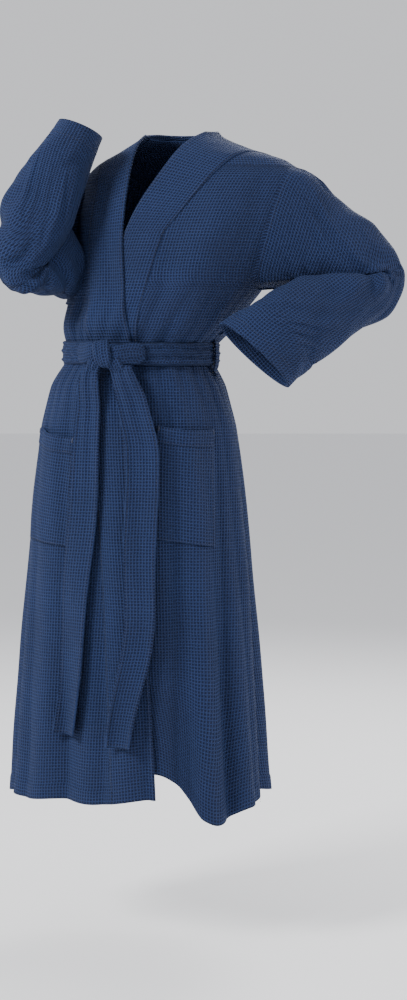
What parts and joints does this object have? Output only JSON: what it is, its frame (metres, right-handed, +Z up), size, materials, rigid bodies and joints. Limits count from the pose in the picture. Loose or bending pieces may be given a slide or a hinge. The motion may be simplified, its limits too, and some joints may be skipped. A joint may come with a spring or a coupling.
{
  "type": "bathrobe",
  "caption": "Long wrap bathrobe as worn: shawl band, tie belt with knot and tails, two patch pockets, wide sleeves bent at the elbow.",
  "frame": {"origin": "base of the neck of the worn robe, in the middle of the neck opening", "axes": "+Z up along the hanging robe, -Y towards the front of the pose, +X towards the wearer's left"},
  "size_m": [0.7104, 0.4235, 1.2075],
  "materials": {
    "waffle_cloth": "navy waffle-weave cotton, soft and matt",
    "thread": "navy sewing thread, slightly shiny",
    "label_cloth": "off-white woven tape, blank"
  },
  "bodies": {
    "robe_body": {"back_panel": "waffle_cloth", "right_front_panel": "waffle_cloth", "left_front_panel": "waffle_cloth", "right_collar_band": "waffle_cloth", "left_collar_band": "waffle_cloth", "right_pocket": "waffle_cloth", "left_pocket": "waffle_cloth", "right_pocket_hem": "waffle_cloth", "left_pocket_hem": "waffle_cloth", "bar_tacks": "thread", "belt_waist": "waffle_cloth", "belt_knot": "waffle_cloth", "right_belt_loop": "waffle_cloth", "left_belt_loop": "waffle_cloth", "neck_label": "label_cloth", "care_label": "label_cloth"},
    "right_sleeve_upper": {"right_sleeve_upper": "waffle_cloth"},
    "right_sleeve_lower": {"right_sleeve_lower": "waffle_cloth", "right_cuff_facing": "waffle_cloth"},
    "left_sleeve_upper": {"left_sleeve_upper": "waffle_cloth"},
    "left_sleeve_lower": {"left_sleeve_lower": "waffle_cloth", "left_cuff_facing": "waffle_cloth"},
    "belt_right_tail": {"belt_right_tail": "waffle_cloth"},
    "belt_left_tail": {"belt_left_tail": "waffle_cloth"},
    "hang_loop": {"hang_loop": "waffle_cloth"}
  },
  "joints": [
    {"name": "left_shoulder_lift", "type": "hinge", "parent": "robe_body", "child": "left_sleeve_upper", "pos_m": [0.20676, -0.08354, -0.032], "axis": [-0.3746, -0.9272, 0], "range_deg": [0, 35]},
    {"name": "right_shoulder_lift", "type": "hinge", "parent": "robe_body", "child": "right_sleeve_upper", "pos_m": [-0.15484, 0.06256, -0.054], "axis": [-0.6712, 0.7413, 0], "range_deg": [0, 30]},
    {"name": "left_elbow_straighten", "type": "hinge", "parent": "left_sleeve_upper", "child": "left_sleeve_lower", "pos_m": [0.4075, -0.0655, -0.235], "axis": [0.1186, -0.9575, 0.2628], "range_deg": [0, 60]},
    {"name": "right_elbow_straighten", "type": "hinge", "parent": "right_sleeve_upper", "child": "right_sleeve_lower", "pos_m": [-0.305, -0.106, -0.248], "axis": [0.6623, -0.728, -0.1771], "range_deg": [0, 60]},
    {"name": "belt_right_tail_swing", "type": "hinge", "parent": "robe_body", "child": "belt_right_tail", "pos_m": [-0.15056, -0.09502, -0.391], "axis": [-0.9272, 0.3746, 0], "range_deg": [0, 40]},
    {"name": "belt_left_tail_swing", "type": "hinge", "parent": "robe_body", "child": "belt_left_tail", "pos_m": [-0.10605, -0.113, -0.391], "axis": [-0.9272, 0.3746, 0], "range_deg": [0, 40]},
    {"name": "hang_loop_flip", "type": "hinge", "parent": "robe_body", "child": "hang_loop", "pos_m": [0.02395, 0.05126, 0.0075], "axis": [-0.9272, 0.3746, 0], "range_deg": [0, 150]}
  ]
}
